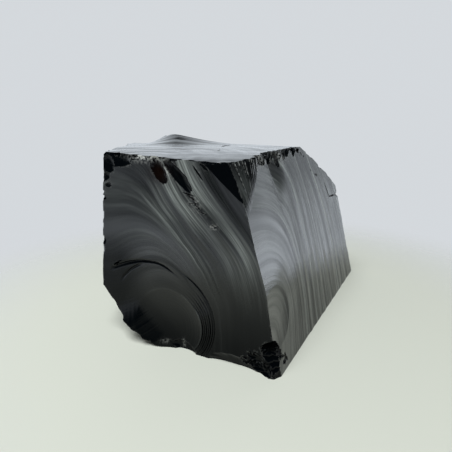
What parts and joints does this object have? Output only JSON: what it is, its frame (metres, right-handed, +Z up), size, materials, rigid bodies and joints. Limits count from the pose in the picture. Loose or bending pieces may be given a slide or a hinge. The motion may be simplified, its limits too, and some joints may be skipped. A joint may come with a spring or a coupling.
{
  "type": "obsidian chunk",
  "caption": "Rough black obsidian chunk with sharp conchoidal fracture faces, a rippled dish on the dark front and a flat base to stand on.",
  "frame": {"origin": "under the middle of the chunk's bounding box, on the surface it rests on", "axes": "+Z up, +X along its longest extent, to the right when the dark front face is looked at, -Y towards the viewer"},
  "size_m": [0.1538, 0.1153, 0.0973],
  "materials": {
    "obsidian": "gloss"
  },
  "bodies": {
    "root": {"obsidian_chunk": "obsidian"}
  },
  "joints": []
}
